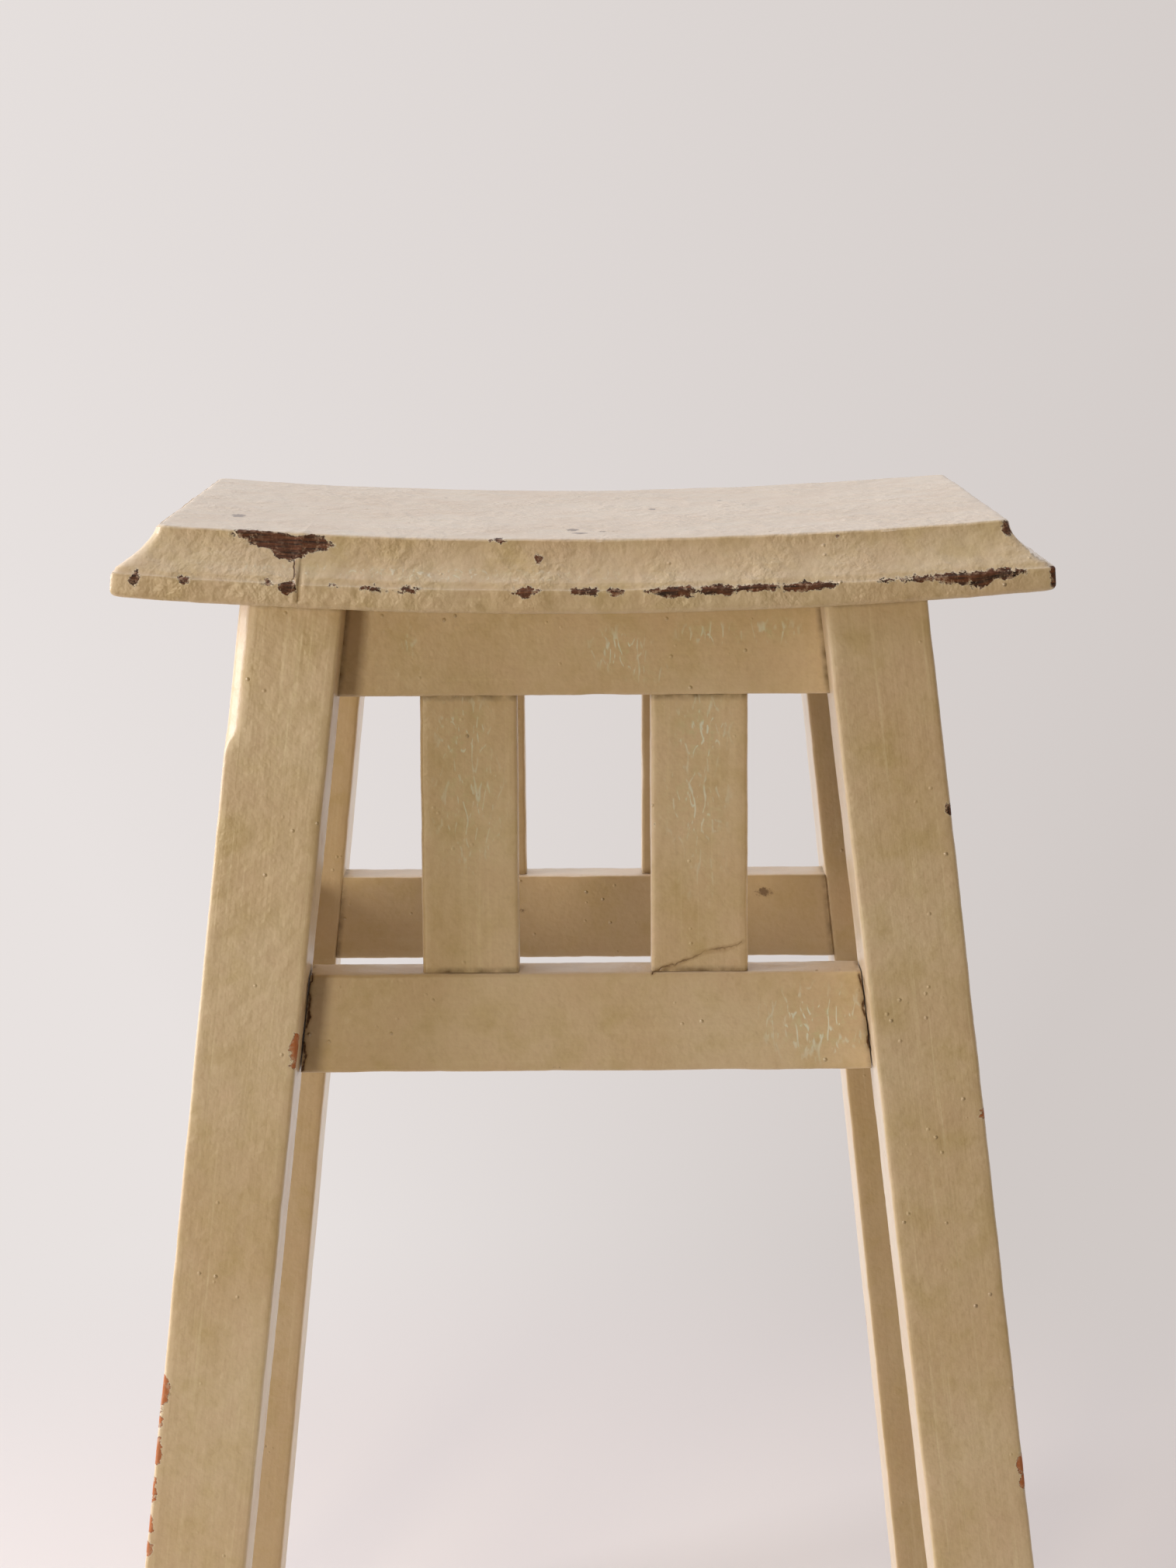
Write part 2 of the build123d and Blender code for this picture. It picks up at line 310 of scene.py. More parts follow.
def rail(node, seed, along, **details):
    """An apron or a lower rail; along is 0 for one that runs in X and 1 for one that runs in Y."""
    low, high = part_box(node)[0][2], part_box(node)[1][2]
    under_seat = node.startswith("apron")
    # levels clear of the rounded arrises and of the tenons, whose shoulders start further in
    levels = (low + 2 * MM, low + 5 * MM) if under_seat else (low + 3 * MM, high - 3 * MM)
    span = slant(node, *levels)
    block = np.array(box_corners(span(low), span(high), low, high))      # [level][y][x]
    if along == 0:
        corners = block.transpose(2, 0, 1, 3)                            # [x][level][y]
    else:
        corners = block.transpose(1, 0, 2, 3)                            # [y][level][x]
    sides = span((low + high) / 2)
    across = 2 - 2 * along
    sizes = (sides[across + 1] - sides[across], high - low, sides[2 * along + 1] - sides[2 * along])
    return worn_bar(node + "_painted", node, corners, sizes, seed, under_seat=under_seat, **details)


def slat(node, seed, **details):
    rails_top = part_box("lower_rail_front")[1][2]
    rails_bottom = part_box("apron_front")[0][2]
    span = slant(node, rails_top + 10 * MM, rails_bottom - 10 * MM)
    corners = box_corners(span(rails_top), span(rails_bottom), rails_top, rails_bottom)
    sides = span(rails_top)
    sizes = (sides[1] - sides[0], sides[3] - sides[2], rails_bottom - rails_top)
    return worn_bar(node + "_painted", node, corners, sizes, seed, **details)


# ------------------------------------------------------------------ seat
seat_points = {name: unbend(points(name)) for name in boards}
everything = np.concatenate(list(seat_points.values()))
half_length, half_depth, thickness = everything.max(axis=0)
cove_width = half_depth - everything[everything[:, 2] > thickness - 0.01 * MM][:, 1].max()
nose_top = thickness - cove_drop


def edge_lines():
    """Insets from the nose with the heights of the top and of the underside there."""
    lines = []
    for k in range(5):
        angle = math.radians(22.5 * k)
        lines.append((nose_round * (1 - math.cos(angle)), nose_top - nose_round * (1 - math.sin(angle))))
    last = math.degrees(math.asin(top_round / cove_drop))
    first = 82.0
    for k in range(14):
        angle = math.radians(first + (last - first) * k / 13)
        inset = cove_width * math.cos(angle)
        if inset > lines[-1][0] + 0.1 * MM:
            lines.append((inset, thickness - cove_drop * math.sin(angle)))
    for k in range(1, 5):
        angle = math.radians(22.5 * k)
        inset = cove_width + top_round * (1 - math.cos(angle))
        lines.append((inset, thickness - top_round * (1 - math.sin(angle))))
    return [(inset, top, underside_height(inset)) for inset, top in lines]


def underside_height(inset):
    if inset >= base_round:
        return 0.0
    return base_round - math.sqrt(base_round**2 - (base_round - inset) ** 2)


def seat_lines(half, must_have):
    """Places of the grid lines along one direction with their heights: (place, top, underside)."""
    edge = edge_lines()
    inner = half - edge[-1][0]
    count = round(2 * inner / seat_step)
    middle = {round(-inner + 2 * inner * k / count, 7) for k in range(1, count)}
    middle = {m for m in middle if all(abs(m - j) > 0.45 * seat_step for j in must_have)} | set(must_have)
    lines = [(inset - half, top, low) for inset, top, low in edge]
    lines += [(m, thickness, 0.0) for m in sorted(middle)]
    lines += [(half - inset, top, low) for inset, top, low in reversed(edge)]
    return np.array(lines)


def round_corners(s, y):
    """Rounds the seat's four corners in plan, more at the top arris than at the nose."""
    inset = min(half_length - abs(s), half_depth - abs(y))
    share = min(1.0, inset / cove_width)
    radius = corner_round[0] + (corner_round[1] - corner_round[0]) * share
    if inset > cove_width + top_round:
        radius *= max(0.0, 1 - (inset - cove_width - top_round) / (40 * MM))
    cx, cy = half_length - inset - radius, half_depth - inset - radius
    dx, dy = abs(s) - cx, abs(y) - cy
    if radius <= 0 or dx <= 0 or dy <= 0:
        return s, y
    length = math.hypot(dx, dy)
    shrink = max(dx, dy) / length
    return math.copysign(cx + dx * shrink, s), math.copysign(cy + dy * shrink, y)


def seat_board(index, name, lines_s, lines_y, open_joint, chips, marks, stains):
    own = seat_points[name]
    start, stop = own[:, 0].min(), own[:, 0].max()
    cols = lines_s[(lines_s[:, 0] > start - 1e-6) & (lines_s[:, 0] < stop + 1e-6)]
    nx, ny = len(cols), len(lines_y)
    flat, faces, layer_of = [], [], {}

    def vertex(i, j, k):
        # k = 0 is the underside and k = walls + 1 is the top; the levels between exist on the border only
        key = (i, j, k)
        if key not in layer_of:
            layer_of[key] = len(flat)
            s, top_s, low_s = cols[i]
            y, top_y, low_y = lines_y[j]
            low, top = max(low_s, low_y), min(top_s, top_y)
            flat.append((s, y, low + (top - low) * k / (walls + 1), k))
        return layer_of[key]

    for i in range(nx - 1):
        for j in range(ny - 1):
            square = ((i, j), (i + 1, j), (i + 1, j + 1), (i, j + 1))
            faces.append(tuple(vertex(*spot, walls + 1) for spot in square))
            faces.append(tuple(vertex(*spot, 0) for spot in (square[0], *square[:0:-1])))
    border = [(i, 0) for i in range(nx)] + [(nx - 1, j) for j in range(1, ny)]
    border += [(i, ny - 1) for i in range(nx - 2, -1, -1)] + [(0, j) for j in range(ny - 2, 0, -1)]
    for a, b in zip(border, border[1:] + border[:1]):
        for k in range(walls + 1):
            faces.append((vertex(*a, k), vertex(*b, k), vertex(*b, k + 1), vertex(*a, k + 1)))

    spots, grain, edge, joint = [], [], [], []
    for s, y, h, k in flat:
        side_inset, face_inset = half_length - abs(s), half_depth - abs(y)
        inset = min(side_inset, face_inset)
        sideways = side_inset <= face_inset
        border_name = ("left" if s < 0 else "right") if sideways else ("front" if y < 0 else "back")
        upper = k > 0
        to_nose = math.hypot(inset, h - nose_top)
        to_rim = math.hypot(inset - cove_width - 0.5 * MM, h - thickness)
        worn = min(to_nose, to_rim * 1.2) if upper else 0.02
        at = (s, y, h)
        lift = 0.25 * MM * wave(at, 60 * MM, 3) + 0.05 * MM * wave(at, 9 * MM, 11) - 0.10 * MM
        out = 0.0
        if k == walls + 1 and nose_round < inset < cove_width:
            chamfer = nose_top + cove_drop * inset / cove_width
            h += (1 - hollow[border_name]) * (chamfer - h)
            lift += 0.35 * MM * wave(at, 14 * MM, 51) + 0.10 * MM * wave(at, 5 * MM, 52)
        if inset < 3 * MM:
            fade = 1 - inset / (3 * MM)
            out = fade * (0.35 * MM * wave(at, 15 * MM, 5) + 0.22 * MM * wave(at, 4 * MM, 9) - 0.40 * MM)
            lift += fade * (0.35 * MM * wave(at, 12 * MM, 21) - 0.15 * MM)
            if k == 0:
                lift += fade * 0.35 * MM * (1 + wave(at, 4.5 * MM, 61))
        elif to_rim < 3 * MM:
            lift -= (1 - to_rim / (3 * MM)) * 0.45 * MM * max(0.0, wave(at, 15 * MM, 31) + 0.2)
        below = min(1.0, max(0.0, (nose_top - h) / nose_top))
        out -= undercut[border_name] * below * max(0.0, 1 - inset / (12 * MM))
        new_s, new_y = round_corners(s, y)
        if sideways:
            new_s += out * (1 if s > 0 else -1)
        else:
            new_y += out * (1 if y > 0 else -1)
        new_h = h + (lift if upper or inset < 3 * MM else 0.0)
        # one glued joint has opened at the front
        crack = 1.0
        if abs(s - open_joint) < 3 * MM:
            front = max(0.0, 1 - (y + half_depth) / (75 * MM))
            crack = abs(s - open_joint) + (1 - front) * 3 * MM
            if k > 0 and crack < 2.5 * MM:
                # the paint stands up beside the crack, and sinks into it
                rise = 0.35 * MM * front * math.sin(math.pi * min(1.0, crack / (2.5 * MM)))
                rise -= 0.5 * MM * front * max(0.0, 1 - crack / (0.6 * MM))
                if k == walls + 1:
                    new_h += rise
                if inset < cove_width and y < 0:
                    new_y -= rise
        spots.append((new_s, new_y, new_h))
        grain.append((s, y, h + 0.01 * index))
        edge.append(worn)
        joint.append(crack + 1.8 * MM)
    spots = np.array(spots)
    fields = {
        "grain": np.array(grain),
        "edge": edge,
        "joint": joint,
        "chip": spots_field(spots, chips),
        "mark": spots_field(spots, marks),
        "stain": spots_field(spots, stains),
    }
    return make_piece(name + "_painted", name, bend(spots), faces, fields)


# ------------------------------------------------------------------ node helpers
class Nodes:
    """Short calls for building a material's node tree."""

    def __init__(self, material):
        material.use_nodes = True
        self.tree = material.node_tree
        self.tree.nodes.clear()

    def add(self, kind, inputs=None, **settings):
        node = self.tree.nodes.new(kind)
        for key, value in settings.items():
            setattr(node, key, value)
        for key, value in (inputs or {}).items():
            self.put(node.inputs[key], value)
        return node

    def put(self, socket, value):
        if isinstance(value, bpy.types.NodeSocket):
            self.tree.links.new(value, socket)
        else:
            socket.default_value = value

    def attribute(self, name):
        node = self.add("ShaderNodeAttribute", attribute_name=name)
        return node.outputs["Vector"] if name == "grain" else node.outputs["Fac"]

    def math(self, operation, a, b=0.0, clamp=False):
        return self.add("ShaderNodeMath", {0: a, 1: b}, operation=operation, use_clamp=clamp).outputs[0]

    def stretch(self, vector, scale):
        node = self.add("ShaderNodeVectorMath", {0: vector, 1: scale}, operation="MULTIPLY")
        return node.outputs[0]

    def noise(self, vector, scale, detail=2.0, rough=0.5, distortion=0.0):
        inputs = {"Vector": vector, "Scale": scale, "Detail": detail, "Roughness": rough}
        inputs["Distortion"] = distortion
        return self.add("ShaderNodeTexNoise", inputs).outputs["Fac"]

    def span(self, value, low, high, to_low=0.0, to_high=1.0, smooth=False):
        inputs = {"Value": value, "From Min": low, "From Max": high, "To Min": to_low, "To Max": to_high}
        kind = "SMOOTHSTEP" if smooth else "LINEAR"
        return self.add("ShaderNodeMapRange", inputs, interpolation_type=kind, clamp=True).outputs["Result"]

    def mix(self, factor, a, b):
        node = self.add("ShaderNodeMix", data_type="RGBA", blend_type="MIX")
        self.put(node.inputs["Factor"], factor)
        self.put(node.inputs["A"], a)
        self.put(node.inputs["B"], b)
        return node.outputs["Result"]

    def bump(self, height, distance, normal=None):
        inputs = {"Height": height, "Distance": distance, "Strength": 1.0}
        if normal is not None:
            inputs["Normal"] = normal
        return self.add("ShaderNodeBump", inputs).outputs["Normal"]


def rgb(red, green, blue):
    """A colour given as it looks on screen, 0 to 255."""
    def straight(c):
        c /= 255
        return c / 12.92 if c <= 0.04045 else ((c + 0.055) / 1.055) ** 2.4

    return (straight(red), straight(green), straight(blue), 1.0)


# ------------------------------------------------------------------ materials
enamel_warm, enamel_pale = rgb(214, 190, 152), rgb(224, 205, 172)
enamel_pink, enamel_olive = rgb(218, 191, 162), rgb(196, 176, 120)
# The first colour here is a paler cream painted on faces that look up or left as painted light; the second
# is a darker tan painted on the back frame's front faces as painted shade.
enamel_painted_light, enamel_painted_shade = rgb(230, 216, 200), rgb(158, 130, 82)
backdrop_left, backdrop_right = rgb(232, 226, 224), rgb(208, 201, 198)
glow_front, glow_back = (0.17, 0.13, 0.085, 1), (0.93, 0.92, 0.97, 1)
tones = {
    "light streak": rgb(240, 226, 190), "dark streak": rgb(178, 152, 108),
    "light mottle": rgb(236, 222, 190), "dark mottle": rgb(176, 152, 108),
    "grime": rgb(96, 72, 40), "stain": rgb(88, 58, 34),
    "rub": rgb(236, 242, 230), "rub haze": rgb(206, 212, 170),
    "crack": rgb(84, 52, 26), "crack edge": rgb(150, 112, 62),
    "chip edge": rgb(240, 230, 206), "primer": rgb(206, 178, 150),
    "dark wood": rgb(50, 32, 20), "brown wood": rgb(118, 70, 42), "low wood": rgb(188, 116, 70),
}


def near_line(n, place, start, stop):
    """Distance in X and Z from a straight line on a face that looks forward; Y counts for little."""
    flat = (1.0, 0.06, 1.0)
    a, b = (Vector((x * f for x, f in zip(end, flat))) for end in (start, stop))
    spot = n.stretch(place, flat)
    offset = n.add("ShaderNodeVectorMath", {0: spot, 1: a}, operation="SUBTRACT").outputs[0]
    run = b - a
    share = n.add("ShaderNodeVectorMath", {0: offset, 1: run / run.length_squared}, operation="DOT_PRODUCT")
    share = n.math("ADD", share.outputs["Value"], 0.0, clamp=True)
    foot = n.add("ShaderNodeVectorMath", {0: run, "Scale": share}, operation="SCALE").outputs[0]
    return n.add("ShaderNodeVectorMath", {0: offset, 1: foot}, operation="DISTANCE").outputs["Value"]


def strokes_of(n, place, scale, width, seed):
    """Short curved strokes: thin contour lines of one noise, kept where another is high."""
    shift = (seed, 0.3 * seed, 0.0)
    shifted = n.add("ShaderNodeVectorMath", {0: place, 1: shift}, operation="ADD").outputs[0]
    field = n.noise(shifted, scale, 0.0, distortion=0.2)
    line = n.span(n.math("ABSOLUTE", n.math("SUBTRACT", field, 0.5)), 0.0, width, 1.0, 0.0, smooth=True)
    return n.math("MULTIPLY", line, n.span(n.noise(shifted, 3.0 * scale, 1.0), 0.50, 0.56))


def enamel():
    material = bpy.data.materials.new("cream_enamel")
    n = Nodes(material)
    place = n.add("ShaderNodeTexCoord").outputs["Object"]
    grain = n.attribute("grain")
    edge = n.attribute("edge")
    joint = n.attribute("joint")
    chip = n.attribute("chip")
    mark = n.attribute("mark")
    stain = n.attribute("stain")
    brushed = n.attribute("brushed")
    lumpy = n.attribute("lumpy")

    # paint colour: cream with warmer and pinker patches, and faint streaks along the brush strokes
    broad = n.noise(place, 14.0, 3.0)
    patch = n.noise(place, 62.0, 4.0, 0.6)
    streak = n.noise(n.stretch(grain, (10.0, 380.0, 380.0)), 1.0, 3.0, 0.65)
    colour = n.mix(n.span(broad, 0.35, 0.65), enamel_warm, enamel_pale)
    colour = n.mix(n.span(patch, 0.50, 0.72, 0.0, 0.40), colour, enamel_pink)
    colour = n.mix(n.span(patch, 0.50, 0.28, 0.0, 0.45), colour, enamel_olive)
    light_streak = n.math("MULTIPLY", n.span(streak, 0.58, 0.72, 0.0, 0.50), brushed)
    dark_streak = n.math("MULTIPLY", n.span(streak, 0.48, 0.26, 0.0, 0.12), brushed)
    colour = n.mix(light_streak, colour, tones["light streak"])
    colour = n.mix(dark_streak, colour, tones["dark streak"])
    mottle = n.noise(place, 420.0, 3.0, 0.6)
    colour = n.mix(n.span(mottle, 0.52, 0.70, 0.0, 0.13), colour, tones["light mottle"])
    colour = n.mix(n.span(mottle, 0.48, 0.30, 0.0, 0.13), colour, tones["dark mottle"])

    # painted light and shade: faces that look up or to the left are painted paler as painted light and
    # sheen, and the back frame's front faces are painted darker as painted shade
    facing = n.add("ShaderNodeSeparateXYZ", {0: n.add("ShaderNodeNewGeometry").outputs["Normal"]}).outputs
    upward_painted_light = n.span(facing["Z"], 0.70, 0.98, 0.0, 0.36, smooth=True)
    leftward_painted_light = n.span(facing["X"], -0.75, -0.97, 0.0, 0.30, smooth=True)
    colour = n.mix(n.math("MAXIMUM", upward_painted_light, leftward_painted_light), colour, enamel_painted_light)
    axes = n.add("ShaderNodeSeparateXYZ", {0: place}).outputs
    # painted shade: the front faces of the back frame are painted darker
    back_painted_shade = n.math("MULTIPLY", n.span(facing["Y"], -0.5, -0.8), n.span(axes["Y"], 0.04, 0.06, 0.0, 0.55))
    colour = n.mix(back_painted_shade, colour, enamel_painted_shade)

    # grime that has gathered where pieces meet
    grime_noise = n.noise(place, 150.0, 3.0, 0.6)
    near_joint = n.span(joint, 0.0, 0.0030, 1.0, 0.0, smooth=True)
    grime = n.math("MULTIPLY", near_joint, n.span(grime_noise, 0.30, 0.75, 0.10, 0.95))
    colour = n.mix(grime, colour, tones["grime"])

    # rubs from other things: short pale green strokes, thickest where the mark field is high
    rubbed = n.span(mark, -0.001, 0.004)
    slanting = n.stretch(place, (1.0, 1.0, 0.34))
    coarse_strokes = strokes_of(n, slanting, 150.0, 0.040, 3.1)
    fine = n.math("MAXIMUM", coarse_strokes, strokes_of(n, slanting, 240.0, 0.050, 7.7))
    colour = n.mix(n.math("MULTIPLY", n.math("MULTIPLY", fine, rubbed), 0.95), colour, tones["rub"])
    haze = n.span(n.noise(place, 210.0, 3.0, 0.7), 0.48, 0.70, 0.0, 0.38)
    colour = n.mix(n.math("MULTIPLY", haze, rubbed), colour, tones["rub haze"])

    # stains, fine cracks that have filled with dirt, and dark lines at the front lower rail's ends that are
    # dirt in the joints and painted shade in the gaps
    ragged = n.noise(place, 560.0, 4.0, 0.65)
    stain_depth = n.math("ADD", stain, n.span(ragged, 0.25, 0.75, -0.0014, 0.0010))
    colour = n.mix(n.span(stain_depth, 0.0, 0.0012, 0.0, 0.75, smooth=True), colour, tones["stain"])
    wander = n.add("ShaderNodeTexNoise", {"Vector": place, "Scale": 130.0, "Detail": 3.0}).outputs["Color"]
    wander = n.add("ShaderNodeVectorMath", {0: wander, 1: (0.5, 0.5, 0.5)}, operation="SUBTRACT").outputs[0]
    wander = n.add("ShaderNodeVectorMath", {0: wander, "Scale": 0.007}, operation="SCALE").outputs[0]
    bent = n.add("ShaderNodeVectorMath", {0: place, 1: wander}, operation="ADD").outputs[0]
    crack = near_line(n, bent, *cracks[0])
    for ends in cracks[1:]:
        crack = n.math("MINIMUM", crack, near_line(n, bent, *ends))
    cracked = n.span(crack, 0.00025, 0.0006, 1.0, 0.0, smooth=True)
    colour = n.mix(n.span(crack, 0.0003, 0.0016, 0.45, 0.0), colour, tones["crack edge"])
    dirt_and_gap_shade = n.math("MULTIPLY", cracked, n.span(ragged, 0.30, 0.55, 0.35, 1.0))
    colour = n.mix(dirt_and_gap_shade, colour, tones["crack"])

    # chips: placed ones, and small ones where arrises are worn
    coarse = n.noise(place, 52.0, 2.0)
    torn = n.noise(place, 270.0, 6.0, 0.72, 0.4)
    placed = n.math("ADD", chip, n.span(torn, 0.28, 0.72, -0.0016, 0.0014))
    wear = n.math("SUBTRACT", n.span(coarse, 0.72, 0.90, -0.0010, 0.0030), edge)
    worn = n.math("ADD", wear, n.span(ragged, 0.25, 0.75, -0.0007, 0.0007))
    depth = n.math("MAXIMUM", placed, worn)
    bare = n.span(depth, 0.0, 0.00016, smooth=True)
    outside = n.math("SUBTRACT", 1.0, bare)
    rim = n.math("MULTIPLY", n.span(depth, -0.0005, 0.0, 0.0, 0.7, smooth=True), outside)
    fibre = n.noise(n.stretch(grain, (90.0, 1100.0, 1100.0)), 1.0, 3.0, 0.6)
    wood = n.mix(n.span(fibre, 0.35, 0.65), tones["dark wood"], tones["brown wood"])
    wood = n.mix(n.span(axes["Z"], down(200), down(150), 0.92, 0.0), wood, tones["low wood"])
    primer = n.span(depth, 0.00016, 0.0013, 0.80, 0.10)
    wood = n.mix(n.math("MULTIPLY", primer, n.span(ragged, 0.50, 0.60)), wood, tones["primer"])
    colour = n.mix(rim, colour, tones["chip edge"])
    colour = n.mix(bare, colour, wood)

    # relief: brush strokes, sags and nibs in the paint, and the paint's thickness round the chips
    strokes = n.noise(n.stretch(grain, (12.0, 620.0, 620.0)), 1.0, 2.0, 0.6)
    sags = n.noise(place, 120.0, 3.0, 0.6)
    nib_cells = n.add("ShaderNodeTexVoronoi", {"Vector": place, "Scale": 170.0, "Randomness": 1.0})
    nibs = n.math("MULTIPLY", n.span(nib_cells.outputs["Distance"], 0.0, 0.17, 1.0, 0.0, smooth=True),
                  n.span(n.noise(place, 48.0, 1.0), 0.55, 0.70))
    lump_share = n.math("MULTIPLY", n.span(n.noise(place, 36.0, 2.0), 0.40, 0.64, 0.25, 1.0), lumpy)
    lumps = n.math("MULTIPLY", n.noise(place, 190.0, 3.0, 0.55), lump_share)
    normal = n.bump(n.math("MULTIPLY", strokes, brushed), relief["strokes"])
    normal = n.bump(sags, relief["sags"], normal)
    normal = n.bump(lumps, relief["lumps"], normal)
    normal = n.bump(nibs, relief["nibs"], normal)
    normal = n.bump(outside, relief["chips"], normal)
    normal = n.bump(n.math("SUBTRACT", 1.0, cracked), relief["cracks"], normal)

    rough = n.span(patch, 0.3, 0.7, 0.32, 0.44)
    rough = n.math("ADD", rough, n.math("MULTIPLY", bare, 0.4), clamp=True)
    shader = n.add(
        "ShaderNodeBsdfPrincipled",
        {"Base Color": colour, "Roughness": rough, "Normal": normal, "IOR": 1.5},
    )
    n.add("ShaderNodeOutputMaterial", {"Surface": shader.outputs[0]})
    return material


def bare_wood():
    material = bpy.data.materials.new("bare_wood")
    n = Nodes(material)
    place = n.add("ShaderNodeTexCoord").outputs["Object"]
    rings = n.noise(n.stretch(place, (30.0, 400.0, 400.0)), 1.0, 4.0, 0.6)
    pores = n.noise(n.stretch(place, (120.0, 2400.0, 2400.0)), 1.0, 2.0)
    colour = n.mix(n.span(rings, 0.35, 0.65), rgb(164, 122, 76), rgb(196, 156, 104))
    colour = n.mix(n.span(pores, 0.60, 0.72, 0.0, 0.5), colour, rgb(110, 76, 44))
    normal = n.bump(pores, 0.0002)
    shader = n.add("ShaderNodeBsdfPrincipled", {"Base Color": colour, "Roughness": 0.62, "Normal": normal})
    n.add("ShaderNodeOutputMaterial", {"Surface": shader.outputs[0]})
    return material


def screw_steel():
    material = bpy.data.materials.new("screw_steel")
    n = Nodes(material)
    place = n.add("ShaderNodeTexCoord").outputs["Object"]
    stain = n.noise(place, 700.0, 4.0, 0.6)
    turned = n.noise(n.stretch(place, (300.0, 300.0, 5000.0)), 1.0, 2.0)
    colour = n.mix(n.span(stain, 0.48, 0.66), rgb(150, 148, 142), rgb(104, 74, 48))
    rough = n.span(stain, 0.35, 0.70, 0.30, 0.75)
    metal = n.span(stain, 0.50, 0.68, 1.0, 0.15)
    normal = n.bump(turned, 0.00008)
    shader = n.add(
        "ShaderNodeBsdfPrincipled",
        {"Base Color": colour, "Roughness": rough, "Metallic": metal, "Normal": normal},
    )
    n.add("ShaderNodeOutputMaterial", {"Surface": shader.outputs[0]})
    return material


def floor_paper():
    """Pale paper that melts into the backdrop away from the stool."""
    material = bpy.data.materials.new("floor_paper")
    n = Nodes(material)
    place = n.add("ShaderNodeTexCoord").outputs["Object"]
    tone = n.noise(place, 1.2, 2.0)
    colour = n.mix(n.span(tone, 0.3, 0.7), rgb(224, 218, 214), rgb(230, 224, 220))
    paper = n.add("ShaderNodeBsdfPrincipled", {"Base Color": colour, "Roughness": 0.9})
    glow = n.add("ShaderNodeEmission", {"Color": sky(n, place), "Strength": 1.0})
    away = n.add("ShaderNodeVectorMath", {0: place}, operation="LENGTH").outputs["Value"]
    share = n.span(away, 0.35, 0.80, smooth=True)
    surface = n.add("ShaderNodeMixShader", {0: share, 1: paper.outputs[0], 2: glow.outputs[0]})
    n.add("ShaderNodeOutputMaterial", {"Surface": surface.outputs[0]})
    return material


def sky(n, towards):
    """Pale to look at, with painted shade that darkens it towards the right; as light it is brighter behind
    the stool than in front of it.
    """
    turned = n.add("ShaderNodeVectorMath", {0: towards}, operation="NORMALIZE").outputs[0]
    way = n.add("ShaderNodeSeparateXYZ", {0: turned}).outputs
    light = n.mix(n.span(way["Y"], -0.45, 0.35, smooth=True), glow_front, glow_back)
    # painted shade: the backdrop the camera sees darkens from left to right
    wall = n.mix(n.span(way["X"], -0.28, 0.32), backdrop_left, backdrop_right)
    seen = n.add("ShaderNodeLightPath").outputs["Is Camera Ray"]
    return n.mix(seen, light, wall)


# ------------------------------------------------------------------ studio
def floor():
    low, high = cad_box
    mesh = bpy.data.meshes.new("floor")
    rings, spokes = [0.0, 1.0, 4.0, 12.0, 40.0], 64
    verts = [(0, 0, low[2])]
    for radius in rings[1:]:
        verts += [
            (radius * math.cos(math.tau * k / spokes), radius * math.sin(math.tau * k / spokes), low[2])
            for k in range(spokes)
        ]
    faces = [(0, 1 + k, 1 + (k + 1) % spokes) for k in range(spokes)]
    for ring in range(len(rings) - 2):
        a, b = 1 + ring * spokes, 1 + (ring + 1) * spokes
        faces += [(a + k, b + k, b + (k + 1) % spokes, a + (k + 1) % spokes) for k in range(spokes)]
    mesh.from_pydata(verts, [], faces)
    sheet = bpy.data.objects.new("floor", mesh)
    sheet.data.materials.append(floor_paper())
    bpy.context.scene.collection.objects.link(sheet)


def lamp(name, place, aim, size, power, colour):
    data = bpy.data.lights.new(name, "AREA")
    data.shape = "RECTANGLE"
    data.size, data.size_y = size
    data.energy = power
    data.color = colour
    light = bpy.data.objects.new(name, data)
    light.location = place
    light.rotation_euler = (Vector(aim) - Vector(place)).to_track_quat("-Z", "Y").to_euler()
    bpy.context.scene.collection.objects.link(light)


def surroundings():
    world = bpy.data.worlds.new("studio")
    bpy.context.scene.world = world
    n = Nodes(world)
    towards = n.add("ShaderNodeTexCoord").outputs["Generated"]
    back = n.add("ShaderNodeBackground", {"Color": sky(n, towards), "Strength": 1.0})
    n.add("ShaderNodeOutputWorld", {"Surface": back.outputs[0]})


def camera():
    """In front of the long side, a little above the seat, tipped down, slightly rolled."""
    data = bpy.data.cameras.new("camera")
    data.sensor_width = 36.0
    data.lens = camera_lens
    data.clip_start, data.clip_end = 0.05, 100
    eye = bpy.data.objects.new("camera", data)
    pitch, yaw, roll = (math.radians(angle) for angle in camera_turn)
    forward = Vector((math.sin(yaw) * math.cos(pitch), math.cos(yaw) * math.cos(pitch), -math.sin(pitch)))
    right = Vector((math.cos(yaw), -math.sin(yaw), 0))
    up = right.cross(forward)
    right, up = right * math.cos(roll) + up * math.sin(roll), up * math.cos(roll) - right * math.sin(roll)
    turn = Matrix((right, up, -forward)).transposed()
    eye.matrix_world = Matrix.Translation((*camera_place, down(-camera_above))) @ turn.to_4x4()
    bpy.context.scene.collection.objects.link(eye)
    bpy.context.scene.camera = eye


# ------------------------------------------------------------------ places of the wear
# Along the front ridge of the seat: middle, width and height in millimetres.
ridge_chips = [
    (-170, 3.8, 6.0), (-151, 4.4, 2.6), (-119.5, 3.6, 2.0), (-112, 7.0, 5.0), (-96, 3.6, 2.2),
    (-79.5, 7.5, 3.0), (-65.5, 8.5, 3.0), (-21.5, 10.5, 3.4), (-1, 7.0, 2.4), (4, 4.0, 3.4), (13, 6.0, 3.4),
    (36, 20, 4.6), (50, 22, 4.0), (66, 24, 2.6), (83, 16, 3.8), (91, 10, 3.0),
    (115.5, 5.6, 2.2), (130, 16, 2.8), (145, 20, 5.0), (156, 22, 4.6), (151, 10, 8.0),
]
